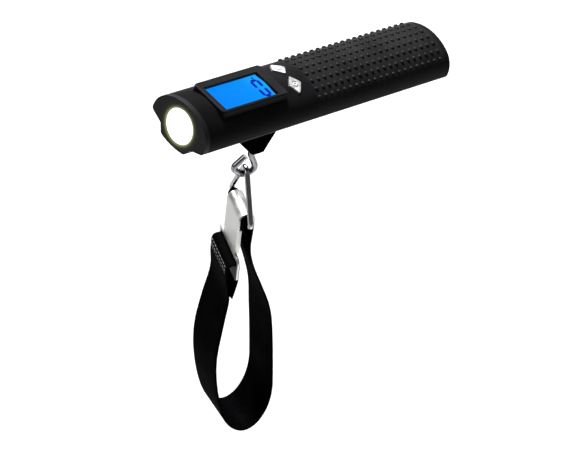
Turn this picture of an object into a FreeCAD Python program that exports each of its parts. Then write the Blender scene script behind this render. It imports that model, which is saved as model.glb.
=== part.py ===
"""Digital luggage scale: torch handle with a load cell, a swivel hook, a wire link and a webbing strap.

Row frame: origin on the handle's axis straight above the hook, where the hand holds it. +Z is up
as the scale hangs, +Y runs along the link's bar and the strap's width, +X across the strap's loop.
The handle's own frame shares that origin: x runs along the handle from the lens to the rear cap,
z out of the display. It is held a little askew over the plumb strap, by yaw, pitch and roll.
"""
import FreeCAD, Part
import Sketcher
import math
import os
from FreeCAD import Vector

DIMENSIONS = {
    # how the handle is held over the hanging strap, degrees
    "yaw": 26.0, "pitch": 12.0, "roll": 7.5,
    # handle along its axis
    "handle_length": 175.0, "lens_to_hook": 61.0, "end_cap": 3.0,
    # handle's cross-section: crowned top, slanted flanks, wing tips, battery tube below
    "crown_half": 11.0, "crown_edge": 9.7, "crown_radius": 25.0, "flank_radius": 12.0,
    "wing_half": 18.2, "wing_drop": 3.2, "neck_half": 10.8, "neck_drop": 6.0,
    "belly_half": 8.4, "belly_edge": 10.6, "belly_radius": 32.0,
    "wall": 1.6, "split_drop": 2.2, "grip_skin": 0.8,
    "grip_start": 16.0, "grip_end": 110.0,
    # torch
    "lens_radius": 9.3, "lens_thick": 2.0, "lip": 0.5, "reflector_depth": 11.0,
    "reflector_mouth": 8.5, "reflector_throat": 2.7, "sheet_thick": 0.8,
    "led_side": 3.4, "led_high": 2.0, "led_board_radius": 8.0, "board_thick": 1.6,
    # display
    "bezel_start": -47.5, "bezel_long": 44.5, "bezel_wide": 22.6, "bezel_top": 13.4,
    "screen_place": -26.65,
    "window_long": 35.4, "window_wide": 16.6, "window_thick": 1.2, "window_drop": 0.5,
    "window_shift": 1.3, "lcd_long": 37.4, "lcd_wide": 18.0, "lcd_thick": 1.9,
    "backlight_thick": 1.5, "main_board_start": -45.5, "main_board_end": 14.0,
    "main_board_wide": 17.0, "main_board_top": 6.4,
    # buttons
    "button_place": 5.9, "button_half_long": 4.1, "button_inner": 1.1, "button_outer": 11.0,
    "button_waist": 6.0, "button_lean": 0.2, "button_proud": 0.7, "button_sink": 1.2,
    "button_gap": 0.3, "button_post": 1.2, "button_travel": 0.6, "switch_side": 4.5,
    "switch_high": 1.0, "post_top": 11.0,
    # load path
    "cell_front": -38.0, "cell_rear": 5.0, "cell_wide": 8.0, "cell_high": 8.0, "cell_drop": 8.4,
    "cell_hole": 2.6, "cell_hole_place": -16.0, "cell_hole_pitch": 8.0, "cell_screw_radius": 2.0,
    "cell_screw_first": -34.5, "cell_screw_pitch": 7.0, "saddle_thick": 0.9,
    "yoke_sheet": 1.2, "yoke_gap_half": 4.15, "yoke_wide": 6.6, "yoke_pin_drop": 4.4,
    "yoke_pin_radius": 1.5,
    # hook boss
    "boss_drop": 29.2, "boss_tip_long": 9.0, "boss_tip_wide": 13.4, "boss_taper": 5.0,
    "boss_wall": 1.0, "boss_mouth": 3.8, "boss_round": 1.6,
    # swivel ball and hook wire
    "ball_radius": 3.2, "ball_flat": 2.6, "seat_radius": 2.65, "wire": 3.3, "wire_fit": 0.05,
    "head_radius": 2.4, "head_thick": 1.3, "stem": 9.0, "eye_depth": 13.1, "eye_shift": 1.8,
    # strap link
    "link_wire": 2.9, "link_high": 26.0, "link_wide": 33.5, "link_gap": 0.35,
    # webbing and clip
    "strap_wide": 25.0, "strap_thick": 1.4, "strap_gap": 0.3, "clip_wide": 19.0,
    "clip_sheet": 1.0, "slot_drop": 27.0, "clip_long": 35.0, "clip_lip": 5.0,
    # battery and charging
    "battery_radius": 9.2, "battery_long": 65.0, "battery_start": 21.0, "battery_drop": 0.6,
    "charge_board_start": 91.0, "charge_board_drop": 0.6, "socket_wide": 13.2,
    "socket_high": 5.7, "inlet_wide": 7.6, "inlet_high": 2.7, "lead_radius": 0.6,
    # casing screws
    "screw_radius": 1.1, "screw_head": 2.0, "screw_side": 12.2, "screw_front": -52.0,
    "screw_rear": 98.0, "post_radius": 2.2, "post_reach": 9.0,
}

doc = FreeCAD.newDocument("luggage_scale")
sheet = doc.addObject("Spreadsheet::Sheet", "dims")
for row, (name, value) in enumerate(DIMENSIONS.items(), start=1):
    sheet.set("A%d" % row, name)
    sheet.set("B%d" % row, str(value))
    sheet.setAlias("B%d" % row, name)
doc.recompute()

HANDLE = "placement(vector(0; 0; 0); rotation(dims.yaw; dims.pitch; dims.roll))"
ALONG_X = "rotation(vector(0; 1; 0); 90)"
ALONG_Y = "rotation(vector(1; 0; 0); -90)"
UPRIGHT = "rotation(0; 0; 0)"
LENS_FACE = "-dims.lens_to_hook"
SHELL_START = "(dims.end_cap - dims.lens_to_hook)"
SHELL_LONG = "(dims.handle_length - 2 * dims.end_cap)"
SHELL_END = "(dims.handle_length - dims.lens_to_hook - dims.end_cap)"

finished = []


def value(expression):
    """The number that a spreadsheet expression stands for now."""
    result = sheet.evalExpression(expression)
    return float(getattr(result, "Value", result))


def bind(obj, sizes):
    """Bind an object's properties to spreadsheet expressions."""
    for prop, expression in sizes.items():
        obj.setExpression(prop, expression)
    return obj


def place(obj, at, turn=UPRIGHT, frame=HANDLE):
    """Place an object at a point, given as three expressions, in the handle's or the row frame."""
    local = "placement(vector(%s; %s; %s); %s)" % (at[0], at[1], at[2], turn)
    obj.setExpression("Placement", local if frame is None else frame + " * " + local)
    return obj


def box(name, low, size, frame=HANDLE):
    made = bind(doc.addObject("Part::Box", name), dict(zip(("Length", "Width", "Height"), size)))
    return place(made, low, frame=frame)


def cylinder(name, radius, height, at, turn=UPRIGHT, frame=HANDLE):
    made = bind(doc.addObject("Part::Cylinder", name), {"Radius": radius, "Height": height})
    return place(made, at, turn, frame)


def cone(name, radius_1, radius_2, height, at, turn=UPRIGHT, frame=HANDLE):
    sizes = {"Radius1": radius_1, "Radius2": radius_2, "Height": height}
    return place(bind(doc.addObject("Part::Cone", name), sizes), at, turn, frame)


def cut(name, base, *tools):
    """Take every tool off the base, one boolean with all the tools joined."""
    made = doc.addObject("Part::Cut", name)
    made.Base = base
    made.Tool = tools[0] if len(tools) == 1 else fuse(name + "_tools", *tools)
    return made


def fuse(name, *shapes):
    made = doc.addObject("Part::MultiFuse", name)
    made.Shapes = list(shapes)
    return made


def common(name, *shapes):
    made = doc.addObject("Part::MultiCommon", name)
    made.Shapes = list(shapes)
    return made


def finish(obj, label):
    """Name a finished sub-part; its label becomes its file's name."""
    obj.Label = label
    finished.append(obj)
    return obj


def origin_plane(body, role):
    return next(plane for plane in body.Origin.OriginFeatures if plane.Role == role)


def outline(body, role, corners, arcs, offset="0", name="outline"):
    """A closed sketch through corners (pairs of expressions) on an origin plane of its body.

    arcs maps the number of an edge, counted from its first corner, to its radius; a radius with
    a minus sign in front bends inwards. Every corner and radius is bound to the spreadsheet.
    """
    sketch = body.newObject("Sketcher::SketchObject", body.Name + "_" + name)
    sketch.AttachmentSupport = [(origin_plane(body, role), "")]
    sketch.MapMode = "FlatFace"
    sketch.setExpression("AttachmentOffset.Base.z", offset)
    points = [Vector(value(u), value(v), 0) for u, v in corners]
    edges = []
    for number, start in enumerate(points):
        end = points[(number + 1) % len(points)]
        if number not in arcs:
            edges.append(sketch.addGeometry(Part.LineSegment(start, end), False))
            continue
        edges.append(sketch.addGeometry(arc_between(start, end, arcs[number]), False))
    for number, edge in enumerate(edges):
        following = edges[(number + 1) % len(edges)]
        here = end_near(sketch, edge, points[(number + 1) % len(points)])
        there = end_near(sketch, following, points[(number + 1) % len(points)])
        sketch.addConstraint(Sketcher.Constraint("Coincident", edge, here, following, there))
    for number, edge in enumerate(edges):
        corner = end_near(sketch, edge, points[number])
        for kind, expression in zip(("DistanceX", "DistanceY"), corners[number]):
            rule = Sketcher.Constraint(kind, -1, 1, edge, corner, value(expression))
            sketch.setExpression("Constraints[%d]" % sketch.addConstraint(rule), expression)
        if number in arcs:
            radius = arcs[number].lstrip("-")
            rule = Sketcher.Constraint("Radius", edge, value(radius))
            sketch.setExpression("Constraints[%d]" % sketch.addConstraint(rule), radius)
    return sketch


def arc_between(start, end, radius):
    """The arc from start to end that bulges to the right of the way, or to the left for minus."""
    inwards = radius.startswith("-")
    size = value(radius.lstrip("-"))
    middle = (start + end) * 0.5
    along = end - start
    side = Vector(along.y, -along.x, 0).normalize() * (-1 if inwards else 1)
    rise = size - math.sqrt(size ** 2 - (along.Length / 2) ** 2)
    return Part.Arc(start, middle + side * rise, end)


def end_near(sketch, edge, point):
    """1 for the start of a sketch edge or 2 for its end, whichever lies at the point."""
    return min((1, 2), key=lambda end: (sketch.getPoint(edge, end) - point).Length)


def pad(body, sketch, length, taper=None):
    made = body.newObject("PartDesign::Pad", body.Name + "_pad")
    made.Profile = sketch
    made.setExpression("Length", length)
    if taper:
        made.setExpression("TaperAngle", taper)
    sketch.Visibility = False
    return made


def round_edges(body, base, radius, wanted):
    """Fillet the edges of a body's last feature that the test picks out."""
    doc.recompute()
    names = ["Edge%d" % (n + 1) for n, edge in enumerate(base.Shape.Edges) if wanted(edge)]
    made = body.newObject("PartDesign::Fillet", body.Name + "_round")
    made.Base = (base, names)
    made.setExpression("Radius", radius)
    return made


def runs_along(axis, low=-math.inf, high=math.inf, across=None):
    """A test for straight edges along an axis whose middle lies between two heights."""
    def wanted(edge):
        if edge.Curve.TypeId != "Part::GeomLine":
            return False
        ends = [vertex.Point for vertex in edge.Vertexes]
        if abs((ends[1] - ends[0]).normalize().dot(axis)) < 0.999:
            return False
        height = (ends[0] + ends[1]).dot(across or Vector(0, 0, 1)) / 2
        return low < height < high
    return wanted


def handle_body(name):
    body = doc.addObject("PartDesign::Body", name)
    body.setExpression("Placement", HANDLE)
    return body


def handle_section(name, inset, start, length):
    """The handle's full cross-section, drawn inset from its skin, run along its axis."""
    body = handle_body(name)
    half = [
        ("dims.crown_half - 0.6 * %s", "dims.crown_edge - %s"),
        ("dims.wing_half - 1.3 * %s", "-dims.wing_drop + 0.4 * %s"),
        ("dims.neck_half - 1.0 * %s", "-dims.neck_drop + 0.6 * %s"),
        ("dims.belly_half - 0.9 * %s", "-dims.belly_edge + %s"),
    ]
    right = [(y % inset, z % inset) for y, z in half]
    left = [("-(%s)" % y, z) for y, z in reversed(right)]
    arcs = {
        0: "dims.flank_radius - %s" % inset,
        3: "dims.belly_radius - %s" % inset,
        6: "dims.flank_radius - %s" % inset,
        7: "dims.crown_radius - %s" % inset,
    }
    clockwise = {number: "-(%s)" % radius for number, radius in arcs.items()}
    sketch = outline(body, "YZ_Plane", right + left, clockwise, offset=start)
    run = pad(body, sketch, length)
    edge = runs_along(Vector(1, 0, 0), -4.5, math.inf)
    run = round_edges(body, run, "2.2 - 0.5 * " + inset, edge)
    low = runs_along(Vector(1, 0, 0), -math.inf, -8.0)
    return body, run, low


def rounded_section(name, inset, start, length):
    body, run, low = handle_section(name, inset, start, length)
    round_edges(body, run, "2.6 - %s" % inset, low)
    return body


def slab(name, start, end, low="-20", high="20", half="25"):
    """A plain block across the whole handle, used to trim or split it."""
    size = ("%s - (%s)" % (end, start), "2 * (%s)" % half, "%s - (%s)" % (high, low))
    return box(name, (start, "-(%s)" % half, low), size)


def casing():
    """Upper and lower shells, end pieces, grip skin and the screws that hold them."""
    skin = rounded_section("casing_skin", "0", SHELL_START, SHELL_LONG)
    hollow = rounded_section("casing_hollow", "dims.wall", SHELL_START, SHELL_LONG)
    under_grip = rounded_section("under_grip", "dims.grip_skin", SHELL_START, SHELL_LONG)
    above = slab("above_split", LENS_FACE, SHELL_END, low="-dims.split_drop")
    below = slab("below_split", LENS_FACE, SHELL_END, high="-dims.split_drop")
    grip_zone = slab("grip_zone", "dims.grip_start", SHELL_END, low="0")
    grip_trim = slab("grip_trim", "dims.grip_end", SHELL_END, low="0")
    grip_block = cut("grip_block", grip_zone, grip_trim)

    display_hole = box(
        "display_hole",
        ("dims.screen_place - dims.lcd_long / 2 - 0.2", "-dims.lcd_wide / 2 - 0.2", "2"),
        ("dims.lcd_long + 0.4", "dims.lcd_wide + 0.4", "12"),
    )
    keyholes = [button_prism("keyhole_" + key, side, "dims.button_gap")
                for key, side in (("unit", -1), ("power", 1))]
    upper_posts = screw_posts("upper_post", "-dims.split_drop", "dims.split_drop + dims.post_reach")
    lower_posts = screw_posts("lower_post", "-5.4", "5.4 - dims.split_drop")
    bores = screw_shafts("post_bore", "dims.screw_radius", "-9", "11")
    sinks = screw_shafts("head_sink", "dims.screw_head + 0.15", "-9", "4.9")

    skin_less_grip = cut("skin_less_grip", skin, grip_block)
    bed = common("bed_under_grip", under_grip, grip_block)
    upper_skin = fuse("upper_skin", skin_less_grip, bed)
    upper = common("upper_wall", cut("upper_open", upper_skin, hollow), above)
    upper_posts = common("upper_posts_in", fuse("up_posts", *upper_posts), under_grip)
    upper = fuse("upper_with_posts", upper, upper_posts)
    finish(cut("upper_shell_made", upper, display_hole, *keyholes, *bores), "upper_shell")

    lower = common("lower_wall", cut("lower_open", skin, hollow), below)
    lower_posts = common("lower_posts_in", fuse("low_posts", *lower_posts), skin)
    lower = fuse("lower_with_posts", lower, lower_posts)
    slot_half = "(dims.yoke_gap_half + dims.yoke_sheet + 0.4)"
    yoke_slot = box("yoke_slot", ("-dims.yoke_wide / 2 - 0.4", "-" + slot_half, "-14"),
                    ("dims.yoke_wide + 0.8", "2 * " + slot_half, "12"))
    finish(cut("lower_shell_made", lower, yoke_slot, *bores, *sinks), "lower_shell")

    grip = cut("grip_pad_made", common("grip_slice", grip_block, skin), under_grip)
    finish(grip, "grip_pad")
    finish(fuse("casing_screws_made", *casing_screws()), "casing_screws")
    return skin


def screw_places():
    for along in ("dims.screw_front", "dims.screw_rear"):
        for side in ("-dims.screw_side", "dims.screw_side"):
            yield along, side


def screw_posts(name, low, height):
    return [cylinder("%s_%d" % (name, n), "dims.post_radius", height, (x, y, low))
            for n, (x, y) in enumerate(screw_places())]


def screw_shafts(name, radius, low, height):
    return [cylinder("%s_%d" % (name, n), radius, height, (x, y, low))
            for n, (x, y) in enumerate(screw_places())]


def casing_screws():
    """Four self-tapping screws that go up through the wings from below."""
    made = []
    for number, (x, y) in enumerate(screw_places()):
        shaft = cylinder("screw_shaft_%d" % number, "dims.screw_radius", "5.6", (x, y, "-4.1"))
        head = cylinder("screw_head_%d" % number, "dims.screw_head", "1.2", (x, y, "-5.3"))
        made.append(fuse("screw_%d" % number, shaft, head))
    return made


def end_pieces():
    """The lens-end bezel and the rear cap, both cut from the handle's own section."""
    front = rounded_section("front_plate", "0", LENS_FACE, "dims.end_cap")
    bore = cylinder("lens_seat", "dims.lens_radius + 0.05", "dims.end_cap",
                    (LENS_FACE + " + dims.lip", "0", "0"), ALONG_X)
    mouth = cylinder("lens_mouth", "dims.lens_radius - 0.4", "dims.end_cap", (LENS_FACE, "0", "0"), ALONG_X)
    finish(cut("front_bezel_made", front, bore, mouth), "front_bezel")
    rear = rounded_section("rear_plate", "0", SHELL_END, "dims.end_cap")
    outer_rim = round_edges(rear, rear.Tip, "1.6", rear_rim)
    rear.Tip = outer_rim
    socket = box("socket_hole",
                 (SHELL_END, "-dims.socket_wide / 2 - 0.1", "-dims.charge_board_drop - 0.1"),
                 ("dims.end_cap", "dims.socket_wide + 0.2", "dims.socket_high + 0.2"))
    inlet_low = "-dims.charge_board_drop - dims.board_thick - dims.inlet_high - 0.1"
    inlet = box("inlet_hole", (SHELL_END, "-dims.inlet_wide / 2 - 0.1", inlet_low),
                ("dims.end_cap", "dims.inlet_wide + 0.2", "dims.inlet_high + 0.2"))
    finish(cut("rear_cap_made", rear, socket, inlet), "rear_cap")


def rear_rim(edge):
    """Edges of the rear cap's outer face."""
    last = value(SHELL_END + " + dims.end_cap")
    return all(abs(vertex.Point.x - last) < 0.01 for vertex in edge.Vertexes)


def button_prism(name, side, grow):
    """A kite-shaped column for one button; side is -1 for the near one, 1 for the far one."""
    body = handle_body(name)
    middle = "dims.button_place"
    sign = "%d * " % side
    corners = [
        (middle + " + dims.button_lean / 2", sign + "(dims.button_inner - 1.2 * %s)" % grow),
        (middle + " + dims.button_half_long + %s" % grow, sign + "dims.button_waist"),
        (middle + " - dims.button_lean", sign + "(dims.button_outer + 1.2 * %s)" % grow),
        (middle + " - dims.button_half_long - %s" % grow, sign + "dims.button_waist"),
    ]
    sketch = outline(body, "XY_Plane", corners, {}, offset="3")
    column = pad(body, sketch, "12")
    round_edges(body, column, "0.7", runs_along(Vector(0, 0, 1)))
    return body


def buttons():
    """Two kite-shaped keys that follow the crown, each with a post over its own switch."""
    proud = rounded_section("button_roof", "(-dims.button_proud)", SHELL_START, "100")
    sunk = rounded_section("button_floor", "dims.button_sink", SHELL_START, "100")
    for key, side in (("unit", -1), ("power", 1)):
        column = button_prism("key_column_" + key, side, "0")
        plate = cut("key_plate_" + key, common("key_slice_" + key, column, proud), sunk)
        top = value("dims.main_board_top + dims.switch_high + dims.button_travel") + 0.05
        across = "%d * dims.button_waist" % side
        post = cylinder("key_post_" + key, "dims.button_post", "dims.post_top - %s" % top,
                        ("dims.button_place", across, "%s" % top))
        finish(fuse("button_%s_made" % key, plate, post), "button_" + key)
        switch = box("switch_" + key,
                     ("dims.button_place - dims.switch_side / 2", across + " - dims.switch_side / 2",
                      "dims.main_board_top"),
                     ("dims.switch_side", "dims.switch_side", "dims.switch_high"))
        finish(switch, "switch_" + key)


def display(skin):
    """Raised frame, clear window, liquid crystal panel, light guide, connector and main board."""
    middle = "dims.screen_place"
    body = handle_body("bezel_block")
    x_0, x_1 = "dims.bezel_start", "dims.bezel_start + dims.bezel_long"
    half = "dims.bezel_wide / 2"
    corners = [(x_0, "-" + half), (x_1, "-" + half), (x_1, half), (x_0, half)]
    block = pad(body, outline(body, "XY_Plane", corners, {}, offset="6"), "dims.bezel_top - 6")
    block = round_edges(body, block, "2.2", runs_along(Vector(0, 0, 1)))
    round_edges(body, block, "0.9", bezel_rim)
    opening = box("bezel_hole",
                  (middle + " - dims.window_long / 2 - 0.2",
                   "-dims.window_wide / 2 - dims.window_shift",
                   "dims.bezel_top - dims.window_drop - dims.window_thick"),
                  ("dims.window_long", "dims.window_wide", "5"))
    chamber = box("bezel_chamber",
                  (middle + " - dims.lcd_long / 2 - 0.2", "-dims.lcd_wide / 2 - 0.2", "2"),
                  ("dims.lcd_long + 0.4", "dims.lcd_wide + 0.4",
                   "dims.bezel_top - dims.window_drop - dims.window_thick - 2"))
    finish(cut("display_bezel_made", body, skin, opening, chamber), "display_bezel")
    window = box("window",
                 (middle + " - dims.window_long / 2 - 0.15",
                  "-dims.window_wide / 2 - dims.window_shift + 0.05",
                  "dims.bezel_top - dims.window_drop - dims.window_thick"),
                 ("dims.window_long - 0.1", "dims.window_wide - 0.1", "dims.window_thick"))
    finish(window, "display_window")
    top = "(dims.bezel_top - dims.window_drop - dims.window_thick - 0.05)"
    layers = (("lcd_panel", "dims.lcd_thick", "0", "0"),
              ("backlight_panel", "dims.backlight_thick", "dims.lcd_thick + 0.1", "1.2"))
    for label, thick, drop, less in layers:
        made = box(label + "_made",
                   (middle + " - (dims.lcd_long - %s) / 2" % less, "-(dims.lcd_wide - %s) / 2" % less,
                    "%s - (%s) - (%s)" % (top, drop, thick)),
                   ("dims.lcd_long - %s" % less, "dims.lcd_wide - %s" % less, thick))
        finish(made, label)
    board = box("main_board_made",
                ("dims.main_board_start", "-dims.main_board_wide / 2",
                 "dims.main_board_top - dims.board_thick"),
                ("dims.main_board_end - dims.main_board_start", "dims.main_board_wide", "dims.board_thick"))
    finish(board, "main_board")
    floor = "%s - dims.lcd_thick - dims.backlight_thick - 0.15" % top
    finish(box("connector_made", (middle + " - 14", "-dims.lcd_wide / 2 + 0.1", "dims.main_board_top"),
               ("28", "1.8", "%s - dims.main_board_top" % floor)), "lcd_connector")
    finish(box("chip_made", (middle + " - 5", "-3.5", "dims.main_board_top"), ("7", "7", "0.8")),
           "controller_chip")


def bezel_rim(edge):
    top = value("dims.bezel_top")
    return all(abs(vertex.Point.z - top) < 0.01 for vertex in edge.Vertexes)


def torch():
    """Clear lens, reflector cup, light-emitting diode and its round board."""
    front = LENS_FACE + " + dims.lip"
    finish(cylinder("lens_made", "dims.lens_radius", "dims.lens_thick", (front, "0", "0"), ALONG_X), "lens")
    start = "(%s + dims.lens_thick)" % front
    flange = cylinder("reflector_flange", "dims.lens_radius", "0.5", (start, "0", "0"), ALONG_X)
    outside = cone("reflector_out", "dims.reflector_mouth + 0.3",
                   "dims.reflector_throat + dims.sheet_thick", "dims.reflector_depth",
                   (start, "0", "0"), ALONG_X)
    inside = cone("reflector_in", "dims.reflector_mouth - 0.4", "dims.reflector_throat",
                  "dims.reflector_depth", (start, "0", "0"), ALONG_X)
    finish(cut("reflector_made", fuse("reflector_solid", flange, outside), inside), "reflector")
    back = "(%s + dims.reflector_depth)" % start
    board = cylinder("led_board_made", "dims.led_board_radius", "dims.board_thick",
                     (back, "0", "0"), ALONG_X)
    finish(board, "led_board")
    die = box("led_die", (back + " - 1", "-dims.led_side / 2", "-dims.led_side / 2"),
              ("1", "dims.led_side", "dims.led_side"))
    dome = cylinder("led_dome", "dims.led_side / 2 - 0.2", "dims.led_high - 1",
                    (back + " - dims.led_high", "0", "0"), ALONG_X)
    finish(fuse("led_made", die, dome), "led_emitter")


def load_path():
    """Bending beam, its gauges and screws, the saddle that holds it and the yoke it carries."""
    beam = box("beam", ("dims.cell_front", "-dims.cell_wide / 2", "-dims.cell_drop"),
               ("dims.cell_rear - dims.cell_front", "dims.cell_wide", "dims.cell_high"))
    middle = "dims.cell_high / 2 - dims.cell_drop"
    first, second = "dims.cell_hole_place", "dims.cell_hole_place - dims.cell_hole_pitch"
    eyes = [cylinder("beam_eye_%d" % n, "dims.cell_hole", "dims.cell_wide + 2",
                     (x, "-dims.cell_wide / 2 - 1", middle), ALONG_Y)
            for n, x in enumerate((first, second))]
    slot = box("beam_slot", (second, "-dims.cell_wide / 2 - 1", middle + " - 0.8"),
               ("dims.cell_hole_pitch", "dims.cell_wide + 2", "1.6"))
    pin_bore = cylinder("beam_pin_bore", "dims.yoke_pin_radius", "dims.cell_wide + 2",
                        ("0", "-dims.cell_wide / 2 - 1", "-dims.yoke_pin_drop"), ALONG_Y)
    screw_x = ["dims.cell_screw_first + %d * dims.cell_screw_pitch" % n for n in range(2)]
    holes = [cylinder("beam_screw_bore_%d" % n, "dims.cell_screw_radius", "14", (x, "0", "-11"))
             for n, x in enumerate(screw_x)]
    finish(cut("load_cell_made", beam, *eyes, slot, pin_bore, *holes), "load_cell")
    under = "-dims.cell_drop - dims.saddle_thick"
    saddle = box("saddle", ("dims.cell_front - 2", "-4.8", under), ("16", "9.6", "dims.saddle_thick"))
    finish(cut("saddle_made", saddle, *holes), "load_saddle")
    screws = []
    for number, x in enumerate(screw_x):
        shank = cylinder("cell_shank_%d" % number, "dims.cell_screw_radius",
                         "dims.cell_high + dims.saddle_thick", (x, "0", under))
        head = cylinder("cell_head_%d" % number, "3.2", "2.4",
                        (x, "0", "dims.cell_high - dims.cell_drop"))
        socket = cylinder("cell_key_%d" % number, "1.3", "1.2",
                          (x, "0", "dims.cell_high - dims.cell_drop + 1.4"))
        screws.append(cut("cell_screw_%d" % number, fuse("cell_bolt_%d" % number, shank, head), socket))
    finish(fuse("load_cell_screws_made", *screws), "load_cell_screws")
    gauge_x = "dims.cell_hole_place - dims.cell_hole_pitch / 2 - 4"
    gauges = [box("gauge_%d" % n, (gauge_x, "-2.5", z), ("8", "5", "0.2"))
              for n, z in enumerate(("dims.cell_high - dims.cell_drop", "-dims.cell_drop - 0.2"))]
    finish(fuse("strain_gauges_made", *gauges), "strain_gauges")
    cell_top = "dims.cell_high - dims.cell_drop + 0.2"
    ribbon = box("ribbon_made", (gauge_x + " + 1", "-2.0", cell_top),
                 ("0.6", "4.0", "dims.main_board_top - dims.board_thick - (%s)" % cell_top))
    finish(ribbon, "sensor_ribbon")
    yoke()


def yoke():
    """A steel stirrup pinned to the beam's free end; the swivel ball sits in its floor."""
    half = "(dims.yoke_gap_half + dims.yoke_sheet)"
    floor = "(0.2 - dims.boss_drop + dims.boss_wall)"
    outside = box("yoke_out", ("-dims.yoke_wide / 2", "-" + half, floor),
                  ("dims.yoke_wide", "2 * " + half, "-dims.yoke_pin_drop + 3 - %s" % floor))
    inside = box("yoke_in", ("-dims.yoke_wide", "-dims.yoke_gap_half", floor + " + dims.yoke_sheet"),
                 ("2 * dims.yoke_wide", "2 * dims.yoke_gap_half", "40"))
    seat = cone("ball_seat", "dims.seat_radius + 0.6", "dims.seat_radius", "dims.yoke_sheet",
                ("0", "0", floor))
    bore = cylinder("yoke_pin_bore", "dims.yoke_pin_radius", "2 * %s + 2" % half,
                    ("0", "-%s - 1" % half, "-dims.yoke_pin_drop"), ALONG_Y)
    finish(cut("load_yoke_made", outside, inside, seat, bore), "load_yoke")
    finish(cylinder("yoke_pin_made", "dims.yoke_pin_radius", "2 * %s" % half,
                    ("0", "-" + half, "-dims.yoke_pin_drop"), ALONG_Y), "yoke_pin")


def tapered_block(name, inset, low, height):
    body = handle_body(name)
    x = "(dims.boss_tip_long / 2 - %s)" % inset
    y = "(dims.boss_tip_wide / 2 - %s)" % inset
    corners = [("-" + x, "-" + y), (x, "-" + y), (x, y), ("-" + x, y)]
    column = pad(body, outline(body, "XY_Plane", corners, {}, offset=low), height, "dims.boss_taper")
    doc.recompute()
    upright = [n for n, edge in enumerate(column.Shape.Edges) if abs(edge.tangentAt(0).z) > 0.9]
    made = body.newObject("PartDesign::Fillet", name + "_round")
    made.Base = (column, ["Edge%d" % (n + 1) for n in upright])
    made.setExpression("Radius", "dims.boss_round - 1.1 * (%s)" % inset)
    return body


def hook_boss(skin):
    """The tapered nose under the handle that the hook comes out of."""
    outside = tapered_block("boss_out", "0", "-dims.boss_drop", "dims.boss_drop - 8")
    inside = tapered_block("boss_in", "dims.boss_wall", "dims.boss_wall - dims.boss_drop",
                           "dims.boss_drop - 5")
    mouth = cylinder("boss_mouth", "dims.boss_mouth", "4", ("0", "0", "-dims.boss_drop - 1"))
    finish(cut("hook_boss_made", outside, skin, inside, mouth), "hook_boss")


def battery_bay():
    """Lithium cell, its spring contacts, the charging board, its two sockets and the leads."""
    end = "dims.battery_start + dims.battery_long"
    finish(cylinder("battery_made", "dims.battery_radius", "dims.battery_long",
                    ("dims.battery_start", "0", "-dims.battery_drop"), ALONG_X), "battery_cell")
    for label, x in (("contact_front", "dims.battery_start - 1.0"), ("contact_rear", end)):
        plate = box(label + "_plate", (x, "-4", "-6"), ("0.4", "8", "11"))
        bump = cylinder(label + "_bump", "3", "1.0", (x, "0", "-dims.battery_drop"), ALONG_X)
        finish(fuse(label + "_made", plate, bump), label)
    board_low = "-dims.charge_board_drop - dims.board_thick"
    board = box("charge_board_made", ("dims.charge_board_start", "-9", board_low),
                ("%s - dims.charge_board_start - 0.2" % SHELL_END, "18", "dims.board_thick"))
    finish(board, "charge_board")
    rear = SHELL_END + " + dims.end_cap - 0.4"
    sockets = (
        ("power_socket", "dims.socket_wide", "dims.socket_high", "13.5",
         "-dims.charge_board_drop", "1.9"),
        ("charge_socket", "dims.inlet_wide", "dims.inlet_high", "5.5",
         board_low + " - dims.inlet_high", "0.5"),
    )
    for label, wide, high, deep, low, tongue in sockets:
        shell = box(label + "_shell", ("%s - %s" % (rear, deep), "-%s / 2" % wide, low), (deep, wide, high))
        cavity = box(label + "_cavity",
                     ("%s - %s + 1.5" % (rear, deep), "-%s / 2 + 0.35" % wide, low + " + 0.35"),
                     (deep, wide + " - 0.7", high + " - 0.7"))
        blade = box(label + "_tongue", ("%s - %s + 1" % (rear, deep), "-%s / 2 + 1" % wide,
                                        "%s + (%s - %s) / 2" % (low, high, tongue)),
                    (deep + " - 1.8", wide + " - 2", tongue))
        finish(fuse(label + "_made", cut(label + "_hollow", shell, cavity), blade), label)
    leads = [cylinder("lead_%d" % n, "dims.lead_radius", "dims.charge_board_start - dims.main_board_end",
                      ("dims.main_board_end", y, z), ALONG_X)
             for n, (y, z) in enumerate((("7.6", "dims.main_board_top + 0.1"), ("9.0", "5.4")))]
    finish(fuse("power_leads_made", *leads), "power_leads")


def bent_path(corners, bends):
    """Straight runs joined by tangent arcs; bends holds one radius for each inner corner.

    A bend of None takes the largest radius that both of its runs allow.
    """
    edges = []
    start = corners[0]
    for before, corner, after, radius in zip(corners, corners[1:], corners[2:], bends):
        way_in = (corner - before).normalize()
        way_out = (after - corner).normalize()
        turn = math.acos(max(-1.0, min(1.0, way_in.dot(way_out))))
        if radius is None:
            shorter = min((corner - before).Length, (after - corner).Length)
            radius = 0.45 * shorter / math.tan(turn / 2)
        reach = radius * math.tan(turn / 2)
        enter = corner - way_in * reach
        leave = corner + way_out * reach
        inward = (way_out - way_in).normalize()
        middle = corner + inward * (radius / math.cos(turn / 2) - radius)
        if (enter - start).Length > 1e-4:
            edges.append(Part.LineSegment(start, enter).toShape())
        edges.append(Part.Arc(enter, middle, leave).toShape())
        start = leave
    edges.append(Part.LineSegment(start, corners[-1]).toShape())
    return Part.Wire(edges)


def sweep(path, profile, upright):
    """A profile run along a flat path; upright is the direction square to the path's plane."""
    shell = Part.BRepOffsetAPI.MakePipeShell(path)
    shell.setBiNormalMode(upright)
    shell.add(profile)
    shell.build()
    shell.makeSolid()
    return shell.shape()


def wire_shape(corners, bends, diameter, upright):
    """A round wire bent along a flat path."""
    path = bent_path(corners, bends)
    start = corners[0]
    along = (corners[1] - start).normalize()
    ring = Part.Wire(Part.Circle(start, along, diameter / 2).toShape())
    return sweep(path, ring, upright)


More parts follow.
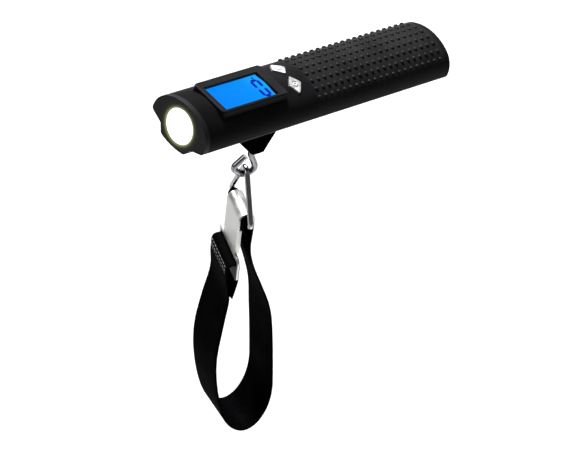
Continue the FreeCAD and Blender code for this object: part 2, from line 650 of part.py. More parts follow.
def band_shape(corners, bends, thick, wide):
    """A flat band of even thickness along a path in the XZ plane, centred across Y."""
    path = bent_path(corners, bends)
    start = corners[0]
    along = (corners[1] - start).normalize()
    side = along.cross(Vector(0, 1, 0)) * (thick / 2)
    edge = Vector(0, wide / 2, 0)
    ring = [start + side + edge, start + side - edge, start - side - edge, start - side + edge]
    return sweep(path, Part.makePolygon(ring + ring[:1]), Vector(0, 1, 0))


def formed(label, shape, at):
    """A formed wire or band with its reference point moved to its place in the row frame."""
    made = doc.addObject("Part::Feature", label + "_made")
    made.Shape = shape
    made.Placement.Base = Vector(*[value(part) for part in at])
    return finish(made, label)


# the swivel ball's centre: first its distance below the handle's axis, then its place in the row
SEAT_RISE = "sqrt(dims.ball_radius^2 - dims.seat_radius^2)"
FLOOR_DROP = "(dims.boss_drop - dims.boss_wall - 0.2 - dims.yoke_sheet)"
PIVOT_DROP = "(%s - %s - 0.03)" % (FLOOR_DROP, SEAT_RISE)
PIVOT = tuple(
    "-%s * (%s)" % (PIVOT_DROP, part) for part in (
        "cos(dims.yaw) * sin(dims.pitch) * cos(dims.roll) + sin(dims.yaw) * sin(dims.roll)",
        "sin(dims.yaw) * sin(dims.pitch) * cos(dims.roll) - cos(dims.yaw) * sin(dims.roll)",
        "cos(dims.pitch) * cos(dims.roll)",
    )
)
EYE = (PIVOT[0] + " - dims.eye_shift", PIVOT[1], PIVOT[2] + " - dims.stem - dims.eye_depth")
APEX_RADIUS = "(dims.wire / 2 + dims.link_gap + dims.link_wire / 2)"
BAR = (EYE[0], EYE[1], EYE[2] + " + %s - dims.link_high" % APEX_RADIUS)


def swivel_and_hook():
    """A steel ball that tilts in the yoke, and the hook wire that turns in the ball's bore."""
    ball = bind(doc.addObject("Part::Sphere", "ball"), {"Radius": "dims.ball_radius"})
    place(ball, PIVOT, frame=None)
    crown = box("ball_crown", (PIVOT[0] + " - 5", PIVOT[1] + " - 5", PIVOT[2] + " + dims.ball_flat"),
                ("10", "10", "5"), frame=None)
    bore = cylinder("ball_bore", "dims.wire / 2 + dims.wire_fit", "10",
                    (PIVOT[0], PIVOT[1], PIVOT[2] + " - 5"), frame=None)
    finish(cut("ball_made", ball, crown, bore), "swivel_ball")

    stem, depth, shift = value("dims.stem"), value("dims.eye_depth"), value("dims.eye_shift")
    seat = value("dims.ball_flat") + 0.05
    thick = value("dims.head_thick")
    corners = [
        Vector(0, 0, seat + thick / 2),
        Vector(0, 0, -stem - 1.0),
        Vector(3.6, 0, -stem - 10.6),
        Vector(-shift - 0.44, 0, -stem - depth - 1.01),
        Vector(-shift - 7.2, 0, -stem - depth + 4.6),
        Vector(-shift - 0.8, 0, -stem - 1.9),
    ]
    bends = [5.0, 4.0, 4.2, 2.4]
    wire = wire_shape(corners, bends, value("dims.wire"), Vector(0, 1, 0))
    head = Part.makeCylinder(value("dims.head_radius"), thick, Vector(0, 0, seat))
    formed("hook_wire", wire.fuse(head).removeSplitter(), PIVOT)


def strap_link():
    """A triangular link of wire, its ends meeting in the middle of the bar."""
    radius = value(APEX_RADIUS)
    half = value("dims.link_wide") / 2
    bar = radius - value("dims.link_high")
    reach = math.atan2(-bar, -half) - math.asin(radius / math.hypot(half, bar))
    peak = bar - half * math.tan(reach)
    corners = [
        Vector(0, 0.1, bar), Vector(0, half, bar), Vector(0, 0, peak),
        Vector(0, -half, bar), Vector(0, -0.1, bar),
    ]
    bends = [2.2, radius, 2.2]
    formed("strap_link", wire_shape(corners, bends, value("dims.link_wire"), Vector(1, 0, 0)), EYE)


def webbing():
    """The strap: sewn round the link's bar, down in a loop, up to the clip's slot and back as a tail."""
    thick = value("dims.strap_thick")
    wrap = value("dims.link_wire / 2 + dims.strap_gap") + thick / 2
    slot = value("dims.slot_drop")
    plate = clip_plate()
    away = value("dims.clip_sheet") / 2 + 0.15 + thick / 2
    corners = [
        Vector(0.45, 0, -17), Vector(0.45, 0, -7.5), Vector(-wrap, 0, -2.5), Vector(-wrap, 0, wrap),
        Vector(wrap, 0, wrap), Vector(wrap, 0, -5), Vector(1.8, 0, -16.5), Vector(4.8, 0, -29),
        Vector(10.2, 0, -43.5), Vector(16.0, 0, -60.5), Vector(18.8, 0, -80), Vector(21.4, 0, -103),
        Vector(23.6, 0, -126), Vector(18.2, 0, -142), Vector(8.8, 0, -147), Vector(-2.0, 0, -138),
        Vector(-9.6, 0, -113.5), Vector(-13.2, 0, -86), Vector(-9.8, 0, -62), Vector(-6.7, 0, -47),
        Vector(-8.4, 0, -36), Vector(-8.6, 0, -slot + away), Vector(-plate + away, 0, -slot + away),
        Vector(-plate + away, 0, -slot - 10.5), Vector(-4.4, 0, -slot - 21),
    ]
    bends = [4.0, 4.0, wrap * 0.98, wrap * 0.98] + [None] * 16 + [3.4, away * 0.98, None]
    length = bent_path(corners, bends).Length
    print("webbing %.1f mm long" % length)
    formed("strap_webbing", band_shape(corners, bends, thick, value("dims.strap_wide")), BAR)


def clip_plate():
    """How far the clip's flat plate stands from the middle of the bar."""
    web = value("dims.link_wire / 2 + dims.strap_gap + dims.strap_thick")
    return web + 0.15 + value("dims.clip_sheet") / 2


def strap_clip():
    """A stamped clip: a full-width hook over the wrapped bar, a flat plate and a slotted foot."""
    plate = clip_plate()
    sheet_thick = value("dims.clip_sheet")
    wide, long = value("dims.clip_wide"), value("dims.clip_long")
    slot = value("dims.slot_drop")
    corners = [
        Vector(plate, 0, -value("dims.clip_lip")), Vector(plate, 0, plate),
        Vector(-plate, 0, plate), Vector(-plate, 0, -slot + 5.0),
    ]
    hook = band_shape(corners, [plate * 0.98, plate * 0.98], sheet_thick, wide)
    foot_wide = value("dims.strap_wide") + 5.0
    foot = Part.makeBox(sheet_thick, foot_wide, long - slot + 6.0,
                        Vector(-plate - sheet_thick / 2, -foot_wide / 2, -long))
    foot = foot.makeFillet(2.5, [edge for edge in foot.Edges if abs(edge.tangentAt(0).x) > 0.9])
    opening_wide = value("dims.strap_wide") + 1.2
    opening = Part.makeBox(4, opening_wide, 3.4, Vector(-plate - 2, -opening_wide / 2, -slot))
    shape = hook.fuse(foot).cut(opening)
    for side in (-1, 1):
        flange = Part.makeBox(1.8, 0.8, slot - 12.0,
                              Vector(-plate, side * (wide / 2 - 0.4) - 0.4, -slot + 6.0))
        shape = shape.fuse(flange)
    formed("strap_clip", shape.removeSplitter(), BAR)


def check_and_write():
    """Stop on any failed object, then write every finished sub-part as its own file."""
    doc.recompute()
    failed = [obj.Name for obj in doc.Objects if {"Invalid", "Error"} & set(obj.State)]
    if failed:
        raise RuntimeError("failed objects: " + ", ".join(failed))
    os.makedirs("parts", exist_ok=True)
    for obj in finished:
        shape = obj.Shape
        if shape.isNull() or not shape.isValid() or not shape.Solids:
            raise RuntimeError("bad shape: " + obj.Label)
        shape.exportStep("parts/%s.step" % obj.Label)
        print("%-20s %2d solids %10.1f mm3" % (obj.Label, len(shape.Solids), shape.Volume))


def main():
    skin = casing()
    end_pieces()
    display(skin)
    buttons()
    torch()
    load_path()
    hook_boss(skin)
    battery_bay()
    swivel_and_hook()
    strap_link()
    webbing()
    strap_clip()
    check_and_write()


main()
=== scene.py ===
"""Digital luggage scale with a torch: looks, webbing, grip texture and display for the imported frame."""
import math

import bpy
from mathutils import Matrix, Vector
from mathutils.bvhtree import BVHTree


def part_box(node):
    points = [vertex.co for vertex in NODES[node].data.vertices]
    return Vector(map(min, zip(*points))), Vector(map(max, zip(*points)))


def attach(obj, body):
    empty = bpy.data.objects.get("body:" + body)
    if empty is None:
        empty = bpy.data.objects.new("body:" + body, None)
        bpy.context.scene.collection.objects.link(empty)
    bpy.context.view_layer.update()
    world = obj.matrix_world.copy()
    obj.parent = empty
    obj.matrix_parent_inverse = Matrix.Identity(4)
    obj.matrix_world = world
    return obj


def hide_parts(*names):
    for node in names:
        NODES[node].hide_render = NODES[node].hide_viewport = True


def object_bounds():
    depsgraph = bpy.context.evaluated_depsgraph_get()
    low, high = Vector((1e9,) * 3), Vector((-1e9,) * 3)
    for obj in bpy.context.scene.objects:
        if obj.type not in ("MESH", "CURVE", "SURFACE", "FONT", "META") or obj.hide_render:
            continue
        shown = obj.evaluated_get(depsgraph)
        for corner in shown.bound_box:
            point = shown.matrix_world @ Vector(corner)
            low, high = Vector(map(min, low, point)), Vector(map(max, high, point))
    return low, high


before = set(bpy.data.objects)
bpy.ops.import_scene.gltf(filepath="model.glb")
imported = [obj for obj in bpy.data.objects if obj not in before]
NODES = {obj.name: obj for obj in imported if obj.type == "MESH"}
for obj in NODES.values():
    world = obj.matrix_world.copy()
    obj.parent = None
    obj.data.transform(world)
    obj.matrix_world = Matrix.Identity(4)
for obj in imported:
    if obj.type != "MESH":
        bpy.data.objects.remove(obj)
scene = bpy.context.scene
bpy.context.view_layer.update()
MM = 0.001

# the handle's own axes: x' runs from the torch to the sockets, z' points out of the display
HANDLE = (Matrix.Rotation(math.radians(26), 3, "Z") @ Matrix.Rotation(math.radians(12), 3, "Y")
          @ Matrix.Rotation(math.radians(7.5), 3, "X"))
BAR = Vector((-7.856, 0.673, -68.871))


def on_handle(x, y, z):
    """A point given in millimetres along the handle's axes, in the shared frame in metres."""
    return HANDLE @ Vector((x, y, z)) * MM


# ---------------------------------------------------------------- camera

def make_camera(azimuth, elevation, roll, place, lens):
    """A camera at place, facing back along an azimuth and elevation in degrees and tipped by roll."""
    az, el, tip = (math.radians(a) for a in (azimuth, elevation, roll))
    back = Vector((math.sin(az) * math.cos(el), -math.cos(az) * math.cos(el), math.sin(el)))
    level = Vector((math.cos(az), math.sin(az), 0))
    right = level * math.cos(tip) + back.cross(level) * math.sin(tip)
    up = back.cross(right)
    camera = bpy.data.objects.new("camera", bpy.data.cameras.new("camera"))
    scene.collection.objects.link(camera)
    camera.matrix_world = Matrix.Translation(place) @ Matrix((right, up, back)).transposed().to_4x4()
    camera.data.sensor_width = 36.0
    camera.data.lens = lens
    camera.data.clip_start = 0.05
    camera.data.clip_end = 20.0
    scene.camera = camera


make_camera(azimuth=-22.84, elevation=41.09, roll=7.38, lens=186.85,
            place=Vector((-0.4169, -1.0333, 0.8936)))

# ---------------------------------------------------------------- materials


def new_material(name):
    """A material, its nodes, its links and its shader node."""
    material = bpy.data.materials.new(name)
    material.use_nodes = True
    nodes, links = material.node_tree.nodes, material.node_tree.links
    return material, nodes, links, nodes["Principled BSDF"]


def noise(nodes, links, scale, detail=3.0, rough=0.55, stretch=None):
    """A noise texture over the piece's own coordinates, drawn out along one axis by stretch."""
    coords = nodes.new("ShaderNodeTexCoord")
    texture = nodes.new("ShaderNodeTexNoise")
    texture.inputs["Scale"].default_value = scale
    texture.inputs["Detail"].default_value = detail
    texture.inputs["Roughness"].default_value = rough
    if stretch:
        mapping = nodes.new("ShaderNodeMapping")
        mapping.inputs["Scale"].default_value = stretch
        links.new(coords.outputs["Object"], mapping.inputs["Vector"])
        links.new(mapping.outputs["Vector"], texture.inputs["Vector"])
    else:
        links.new(coords.outputs["Object"], texture.inputs["Vector"])
    return texture


def spread(nodes, links, source, low, high, target):
    """Maps the middle of a texture's range onto low..high of a shader's number socket."""
    remap = nodes.new("ShaderNodeMapRange")
    remap.inputs["From Min"].default_value = 0.3
    remap.inputs["From Max"].default_value = 0.7
    remap.inputs["To Min"].default_value = low
    remap.inputs["To Max"].default_value = high
    links.new(source, remap.inputs["Value"])
    links.new(remap.outputs["Result"], target)


def tint(nodes, links, source, first, second, target):
    """Colours a shader's socket between two tones by a texture."""
    ramp = nodes.new("ShaderNodeValToRGB")
    ramp.color_ramp.elements[0].position = 0.35
    ramp.color_ramp.elements[0].color = (*first, 1)
    ramp.color_ramp.elements[1].position = 0.68
    ramp.color_ramp.elements[1].color = (*second, 1)
    links.new(source, ramp.inputs["Fac"])
    links.new(ramp.outputs["Color"], target)


def bump(nodes, links, source, strength, depth, shader, under=None):
    """Relief from a texture, added to the bump under it where one is given."""
    node = nodes.new("ShaderNodeBump")
    node.inputs["Strength"].default_value = strength
    node.inputs["Distance"].default_value = depth
    links.new(source, node.inputs["Height"])
    if under:
        links.new(under.outputs["Normal"], node.inputs["Normal"])
    links.new(node.outputs["Normal"], shader.inputs["Normal"])
    return node


def plastic(name, dark, light, rough, gloss, grain=2600.0, depth=0.00002):
    """Moulded plastic or rubber: fine spark-erosion grain over broad handling marks."""
    material, nodes, links, shader = new_material(name)
    wide = noise(nodes, links, 45.0, 4.0)
    fine = noise(nodes, links, grain, 2.0)
    tint(nodes, links, wide.outputs["Fac"], dark, light, shader.inputs["Base Color"])
    spread(nodes, links, wide.outputs["Fac"], rough - 0.05, rough + 0.06, shader.inputs["Roughness"])
    bump(nodes, links, fine.outputs["Fac"], 0.5, depth, shader)
    shader.inputs["Specular IOR Level"].default_value = gloss
    return material


def metal(name, dark, light, rough, stretch=None, depth=0.000006, weight=1.0):
    """Plated or brushed metal: slight haze, hairlines and tiny dents."""
    material, nodes, links, shader = new_material(name)
    haze = noise(nodes, links, 160.0, 5.0, 0.6)
    lines = noise(nodes, links, 900.0, 2.0, 0.5, stretch)
    tint(nodes, links, haze.outputs["Fac"], dark, light, shader.inputs["Base Color"])
    spread(nodes, links, haze.outputs["Fac"], rough * 0.75, rough * 1.4, shader.inputs["Roughness"])
    bump(nodes, links, lines.outputs["Fac"], 0.35, depth, shader)
    shader.inputs["Metallic"].default_value = weight
    return material


def glow(name, centre, axis, stops, reach, strength):
    """A lit face: its colour changes with distance from centre, or along axis where one is given."""
    material, nodes, links, shader = new_material(name)
    coords = nodes.new("ShaderNodeTexCoord")
    offset = nodes.new("ShaderNodeVectorMath")
    offset.operation = "SUBTRACT"
    offset.inputs[1].default_value = centre
    links.new(coords.outputs["Object"], offset.inputs[0])
    measure = nodes.new("ShaderNodeVectorMath")
    measure.operation = "DOT_PRODUCT" if axis else "LENGTH"
    links.new(offset.outputs["Vector"], measure.inputs[0])
    if axis:
        measure.inputs[1].default_value = axis
    remap = nodes.new("ShaderNodeMapRange")
    remap.inputs["From Min"].default_value = -reach if axis else 0.0
    remap.inputs["From Max"].default_value = reach
    links.new(measure.outputs["Value"], remap.inputs["Value"])
    ramp = nodes.new("ShaderNodeValToRGB")
    while len(ramp.color_ramp.elements) < len(stops):
        ramp.color_ramp.elements.new(0.5)
    for element, (place, colour) in zip(ramp.color_ramp.elements, stops):
        element.position = place
        element.color = (*colour, 1)
    links.new(remap.outputs["Result"], ramp.inputs["Fac"])
    links.new(ramp.outputs["Color"], shader.inputs["Emission Color"])
    shader.inputs["Emission Strength"].default_value = strength
    shader.inputs["Base Color"].default_value = (0.001, 0.001, 0.0015, 1)
    shader.inputs["Roughness"].default_value = 0.5
    shader.inputs["Specular IOR Level"].default_value = 0.0
    return material


def clear(name, tone, rough):
    """Moulded clear plastic with faint wipe marks."""
    material, nodes, links, shader = new_material(name)
    marks = noise(nodes, links, 120.0, 3.0)
    spread(nodes, links, marks.outputs["Fac"], rough, rough + 0.05, shader.inputs["Roughness"])
    shader.inputs["Base Color"].default_value = (*tone, 1)
    shader.inputs["Transmission Weight"].default_value = 1.0
    # the body neither bends nor mirrors light, so what lies under it keeps its colour: only the coat shines
    shader.inputs["IOR"].default_value = 1.001
    shader.inputs["Coat Weight"].default_value = 0.12
    shader.inputs["Coat Roughness"].default_value = 0.04
    return material


def woven(name):
    """Black nylon webbing: diagonal yarns along the strap, from its own lengthwise coordinates, with
    painted shade in the valleys between them.
    """
    material, nodes, links, shader = new_material(name)
    coords = nodes.new("ShaderNodeTexCoord")
    waves = nodes.new("ShaderNodeTexWave")
    waves.wave_type = "BANDS"
    waves.bands_direction = "DIAGONAL"
    waves.inputs["Scale"].default_value = 520.0
    waves.inputs["Distortion"].default_value = 0.6
    links.new(coords.outputs["UV"], waves.inputs["Vector"])
    fuzz = noise(nodes, links, 1500.0, 3.0)
    broad = noise(nodes, links, 70.0, 3.0)
    # painted shade: the colour is darkest in the valleys of the waves that raise the ribs, mixed with
    # random fibre fuzz
    both = nodes.new("ShaderNodeMath")
    both.operation = "MULTIPLY"
    links.new(waves.outputs["Fac"], both.inputs[0])
    links.new(fuzz.outputs["Fac"], both.inputs[1])
    tint(nodes, links, both.outputs["Value"], (0.0001, 0.0001, 0.0002), (0.0034, 0.0034, 0.0038),
         shader.inputs["Base Color"])
    spread(nodes, links, broad.outputs["Fac"], 0.6, 0.78, shader.inputs["Roughness"])
    first = bump(nodes, links, waves.outputs["Fac"], 0.6, 0.00008, shader)
    bump(nodes, links, fuzz.outputs["Fac"], 0.5, 0.00003, shader, first)
    shader.inputs["Specular IOR Level"].default_value = 0.004
    return material


lens_low, lens_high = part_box("lens")
LENS = (Vector(lens_low) + Vector(lens_high)) / 2
SCREEN_X = -26.8
SCREEN = on_handle(SCREEN_X, -1.3, 11.5)

LOOKS = {
    "casing": plastic("soft_touch_black", (0.0015, 0.0015, 0.0017), (0.0030, 0.0030, 0.0034), 0.47, 0.03),
    "bezel": plastic("bezel_black", (0.0022, 0.0022, 0.0026), (0.0042, 0.0042, 0.0048), 0.48, 0.05, 3200.0),
    "boss": plastic("boss_black", (0.0006, 0.0006, 0.0006), (0.0014, 0.0014, 0.0014), 0.5, 0.0, 3000.0,
                    0.00001),
    "grip": plastic("grip_rubber", (0.0030, 0.0030, 0.0032), (0.0050, 0.0050, 0.0053), 0.46, 0.03, 1900.0,
                    0.000015),
    "steel": metal("zinc_steel", (0.5, 0.5, 0.5), (0.68, 0.68, 0.67), 0.28),
    "window": clear("clear_window", (0.97, 0.985, 1.0), 0.0),
    "lcd": glow("lcd_blue", SCREEN, HANDLE @ Vector((1, 0.25, 0)),
                [(0.0, (0.0, 0.245, 1.0)), (0.7, (0.0, 0.30, 1.0)), (1.0, (0.012, 0.40, 1.0))], 0.018, 1.0),
    "light_guide": clear("frosted_guide", (0.95, 0.97, 1.0), 0.3),
    "board": plastic("board_green", (0.01, 0.06, 0.025), (0.016, 0.09, 0.035), 0.4, 0.45, 1200.0),
    "elastomer": plastic("grey_elastomer", (0.10, 0.10, 0.11), (0.14, 0.14, 0.15), 0.6, 0.3, 1500.0),
    "chip": plastic("chip_black", (0.01, 0.01, 0.011), (0.02, 0.02, 0.021), 0.45, 0.4, 4000.0),
    "lens": glow("lit_lens", LENS, None,
                 [(0.0, (1.0, 1.0, 1.0)), (0.93, (1.0, 1.0, 0.97)), (0.975, (0.95, 0.98, 0.80)),
                  (1.0, (0.62, 0.66, 0.38))], 0.0095, 1.6),
    "reflector": metal("mirror_reflector", (0.85, 0.85, 0.85), (0.93, 0.93, 0.93), 0.05),
    "emitter": plastic("emitter_yellow", (0.75, 0.60, 0.10), (0.85, 0.70, 0.16), 0.4, 0.5, 2000.0),
    "beam": metal("load_cell_aluminium", (0.62, 0.63, 0.65), (0.74, 0.75, 0.77), 0.3, (1, 1, 12)),
    "gauge": plastic("gauge_amber", (0.35, 0.16, 0.03), (0.45, 0.22, 0.05), 0.4, 0.5, 1500.0),
    "battery": plastic("cell_wrap", (0.02, 0.09, 0.22), (0.03, 0.12, 0.28), 0.32, 0.5, 1500.0),
    "nickel": metal("nickel_strip", (0.55, 0.53, 0.48), (0.7, 0.68, 0.62), 0.22, (1, 12, 1)),
    "lead_cover": plastic("lead_black", (0.01, 0.01, 0.011), (0.02, 0.02, 0.02), 0.5, 0.4, 1500.0),
    "key": metal("key_silver", (0.14, 0.14, 0.14), (0.42, 0.42, 0.42), 0.40, (1, 1, 6), weight=0.5),
    "chrome": metal("chrome", (0.20, 0.20, 0.21), (0.31, 0.31, 0.32), 0.07),
    "satin_nickel": metal("satin_nickel", (0.34, 0.34, 0.33), (0.45, 0.45, 0.44), 0.40, (1, 1, 14)),
    "webbing": woven("nylon_webbing"),
}
DARK_INK = plastic("icon_ink", (0.03, 0.03, 0.032), (0.05, 0.05, 0.052), 0.6, 0.3, 4000.0)
SEGMENT_INK = glow("segment_blue", SCREEN, HANDLE @ Vector((1, 0, 0)),
                   [(0.0, (0.0, 0.012, 0.42)), (1.0, (0.0, 0.018, 0.50))], 0.018, 1.0)
THREAD = plastic("black_thread", (0.03, 0.03, 0.032), (0.06, 0.06, 0.062), 0.5, 0.35, 2500.0, 0.00005)

# the front bezel, with the torch's spill painted on as a glow only close round the lens
SPILL = glow("spill_rim", LENS, None,
             [(0.0, (0.26, 0.27, 0.12)), (0.735, (0.20, 0.21, 0.09)), (0.79, (0.035, 0.037, 0.015)),
              (0.88, (0.006, 0.006, 0.003)), (1.0, (0.0, 0.0, 0.0))], 0.0128, 1.0)
spill_shader = SPILL.node_tree.nodes["Principled BSDF"]
spill_shader.inputs["Base Color"].default_value = (0.004, 0.004, 0.0045, 1)
spill_shader.inputs["Specular IOR Level"].default_value = 0.13

for node in NODES.values():
    for place, old in enumerate(node.data.materials):
        label = old.name.split(".")[0]
        if node.name == "front_bezel":
            # painted light: the bezel glows with the torch's spill round the lens
            node.data.materials[place] = SPILL
        elif label in LOOKS:
            node.data.materials[place] = LOOKS[label]
        else:
            print("no look for", node.name, old.name)

# ---------------------------------------------------------------- mesh helpers


def piece(name, mesh_data, material, body):
    """A finished piece from (points, faces), riding on a CAD body and painted with the given material."""
    points, faces = mesh_data
    mesh = bpy.data.meshes.new(name)
    mesh.from_pydata(points, [], faces)
    mesh.update()
    for polygon in mesh.polygons:
        polygon.use_smooth = True
    mesh.materials.append(material)
    made = bpy.data.objects.new(name, mesh)
    scene.collection.objects.link(made)
    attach(made, body)
    return made


def tube(points, radius, sides=8):
    """Points and faces of a round thread or bar along points, with rounded ends."""
    verts, faces = [], []
    count = len(points)
    for i, at in enumerate(points):
        along = (points[min(i + 1, count - 1)] - points[max(i - 1, 0)]).normalized()
        side = along.orthogonal().normalized()
        other = along.cross(side)
        size = radius * (0.45 if i in (0, count - 1) else 1.0)
        for k in range(sides):
            turn = 2 * math.pi * k / sides
            verts.append(at + side * math.cos(turn) * size + other * math.sin(turn) * size)
    for i in range(count - 1):
        for k in range(sides):
            a, b = i * sides + k, i * sides + (k + 1) % sides
            faces.append((a, b, b + sides, a + sides))
    faces.append(tuple(reversed(range(sides))))
    faces.append(tuple(range((count - 1) * sides, count * sides)))
    return verts, faces


def gather(parts):
    """Several (points, faces) as one."""
    verts, faces = [], []
    for some_verts, some_faces in parts:
        base = len(verts)
        verts.extend(some_verts)
        faces.extend(tuple(base + k for k in face) for face in some_faces)
    return verts, faces


def slab(outline, rise, thick):
    """A flat plate on the handle: an outline of (x, y) in millimetres, its top at rise."""
    top = [on_handle(x, y, rise) for x, y in outline]
    low = [on_handle(x, y, rise - thick) for x, y in outline]
    count = len(outline)
    faces = [tuple(range(count)), tuple(reversed(range(count, 2 * count)))]
    for k in range(count):
        after = (k + 1) % count
        faces.append((k, k + count, after + count, after))
    return top + low, faces


# ---------------------------------------------------------------- grip dots

def tree_of(node):
    """A CAD node's mesh, ready for casting rays at."""
    mesh = NODES[node].data
    return BVHTree.FromPolygons([v.co for v in mesh.vertices], [p.vertices for p in mesh.polygons])


pad_tree = tree_of("grip_pad")


def dome(at, out, radius, high):
    """A low moulded rubber pip standing on the grip."""
    side = out.orthogonal().normalized()
    other = out.cross(side)
    verts, faces = [], []
    # each ring's radius and height, as shares of the pip's own
    rings = ((1.12, -0.12), (1.0, 0.05), (0.93, 0.42), (0.74, 0.76), (0.42, 0.95))
    sides = 14
    for wide, lift in rings:
        for k in range(sides):
            turn = 2 * math.pi * k / sides
            verts.append(at + side * math.cos(turn) * radius * wide + other * math.sin(turn) * radius * wide
                         + out * high * lift)
    for i in range(len(rings) - 1):
        for k in range(sides):
            a, b = i * sides + k, i * sides + (k + 1) % sides
            faces.append((a, b, b + sides, a + sides))
    verts.append(at + out * high)
    last = (len(rings) - 1) * sides
    for k in range(sides):
        faces.append((last + k, last + (k + 1) % sides, len(verts) - 1))
    return verts, faces


DOT_PITCH, DOT_FIRST, DOT_LAST, DOT_ROWS = 4.45, 17.6, 107.0, 8
DOT_RADIUS, DOT_HIGH = 1.15, 0.85
WALK_X, WALK_STEPS, STEPS_PER_MM = 60, 180, 10
INTO_TOP = HANDLE @ Vector((0, 0, -1))


def drop(tree, x, y):
    """Where a line into the handle's top at (x, y) meets a mesh, and which way that surface faces."""
    return tree.ray_cast(on_handle(x, y, 40), INTO_TOP)[:2]


def row_places(count, pitch):
    """Sideways places of the rows, their pitch measured over the curved surface."""
    walk = [(0.0, 0.0)]
    spot = drop(pad_tree, WALK_X, 0)[0]
    for k in range(1, WALK_STEPS):
        after = drop(pad_tree, WALK_X, k / STEPS_PER_MM)[0]
        if not after:
            break
        walk.append((walk[-1][0] + (after - spot).length / MM, k / STEPS_PER_MM))
        spot = after
    places = []
    for row in range(count // 2):
        far = min(walk, key=lambda item: abs(item[0] - (row + 0.5) * pitch))[1]
        places += [far, -far]
    return places


dots = []
for y in row_places(DOT_ROWS, DOT_PITCH):
    x = DOT_FIRST
    while x < DOT_LAST:
        hit, normal = drop(pad_tree, x, y)
        if hit:
            out = normal if normal.dot(INTO_TOP) < 0 else -normal
            dots.append(dome(hit, out, DOT_RADIUS * MM, DOT_HIGH * MM))
        x += DOT_PITCH
piece("grip_dots", gather(dots), LOOKS["grip"], "casing")

# ---------------------------------------------------------------- display digit

PANEL_TOP = (HANDLE.transposed() @ drop(tree_of("lcd_panel"), SCREEN_X, 0)[0])[2] / MM


def segment(x0, y0, x1, y1, wide):
    """One bar of a seven-segment digit, mitred at both ends."""
    start, end = Vector((x0, y0)), Vector((x1, y1))
    along = (end - start).normalized()
    side = Vector((-along.y, along.x)) * wide / 2
    tip = along * wide / 2
    return [tuple(p) for p in (start, start + tip + side, end - tip + side, end, end - tip - side,
                               start + tip - side)]


DIGIT_LOW, DIGIT_HIGH, DIGIT_NEAR, DIGIT_FAR = -15.3, -11.4, -7.4, 3.7
DIGIT_MID = (DIGIT_NEAR + DIGIT_FAR) / 2
DIGIT_BAR, DIGIT_GAP, CORNER_GAP = 1.65, 0.5, 0.12
INK_RISE, INK_THICK = 0.06, 0.05
SMALL_MARK = [(-13.3, 5.0), (-11.8, 5.0), (-12.5, 6.3)]
BARS = []
for edge in (DIGIT_LOW, DIGIT_HIGH):
    BARS.append(segment(edge, DIGIT_NEAR + CORNER_GAP, edge, DIGIT_MID - DIGIT_GAP, DIGIT_BAR))
    BARS.append(segment(edge, DIGIT_MID + DIGIT_GAP, edge, DIGIT_FAR - CORNER_GAP, DIGIT_BAR))
for edge in (DIGIT_NEAR, DIGIT_FAR):
    BARS.append(segment(DIGIT_LOW + CORNER_GAP, edge, DIGIT_HIGH - CORNER_GAP, edge, DIGIT_BAR))
BARS.append(SMALL_MARK)
piece("lcd_digit", gather([slab(bar, PANEL_TOP + INK_RISE, INK_THICK) for bar in BARS]), SEGMENT_INK,
      "casing")

# ---------------------------------------------------------------- key icons

KEY_X, KEY_Y = 5.9, 6.0
ICON_LINE, ICON_RADIUS = 0.24, 1.5


def ink_line(tree, spots):
    """A printed line lying on a key's crowned top, through (x, y) spots in millimetres."""
    return tube([drop(tree, x, y)[0] for x, y in spots], ICON_LINE * MM, 6)


def arc(x, y, start, end, steps=18):
    """Spots round an icon's circle, from one angle in degrees to another."""
    turns = [math.radians(start + (end - start) * k / steps) for k in range(steps + 1)]
    return [(x + ICON_RADIUS * math.cos(turn), y + ICON_RADIUS * math.sin(turn)) for turn in turns]


far_key, near_key = tree_of("button_power"), tree_of("button_unit")
piece("power_icon", gather([
    ink_line(far_key, arc(KEY_X, KEY_Y, 125, 415)),
    ink_line(far_key, [(KEY_X, KEY_Y + 0.3), (KEY_X, KEY_Y + 1.0), (KEY_X, KEY_Y + 1.9)]),
]), DARK_INK, "power_key")
piece("unit_icon", gather([
    ink_line(near_key, arc(KEY_X, -KEY_Y, 20, 160)),
    ink_line(near_key, arc(KEY_X, -KEY_Y, 200, 340)),
    ink_line(near_key, [(KEY_X - 0.7, -KEY_Y), (KEY_X, -KEY_Y), (KEY_X + 0.7, -KEY_Y)]),
]), DARK_INK, "unit_key")

# ---------------------------------------------------------------- webbing

# the strap's route as (x, z) corners in millimetres from the link's bar: sewn wrap, loop, clip slot, tail
WRAP, PLATE, AWAY, SLOT = 2.45, 3.8, 1.35, 27.0
STRAP_CORNERS = [
    (0.45, -17), (0.45, -12), (0.45, -7.5), (-WRAP, -2.5), (-WRAP, WRAP), (WRAP, WRAP), (WRAP, -5),
    (1.8, -16.5), (4.8, -29), (10.2, -43.5), (16.0, -60.5), (18.8, -80), (21.4, -103), (23.6, -126),
    (18.2, -142), (8.8, -147), (-2.0, -138), (-9.6, -113.5), (-13.2, -86), (-9.8, -62), (-6.7, -47),
    (-8.4, -36), (-8.6, -32), (-8.6, -SLOT + AWAY), (-PLATE + AWAY, -SLOT + AWAY), (-PLATE + AWAY, -29),
    (-PLATE + AWAY, -35), (-PLATE + AWAY, -38), (-4.4, -SLOT - 21),
]
STRAP_WIDE, STRAP_THICK, STRAP_LONG = 25.0, 1.4, 334.1
# the hanging loop turns a little about its own upright line, which the clip end doesn't
TWIST, TWIST_LINE, TWIST_TOP, TWIST_RUN = math.radians(9.9), 4.0, -20.0, 60.0
TAIL = 24.0
RIB, CURVE_STEPS = 1.6, 60


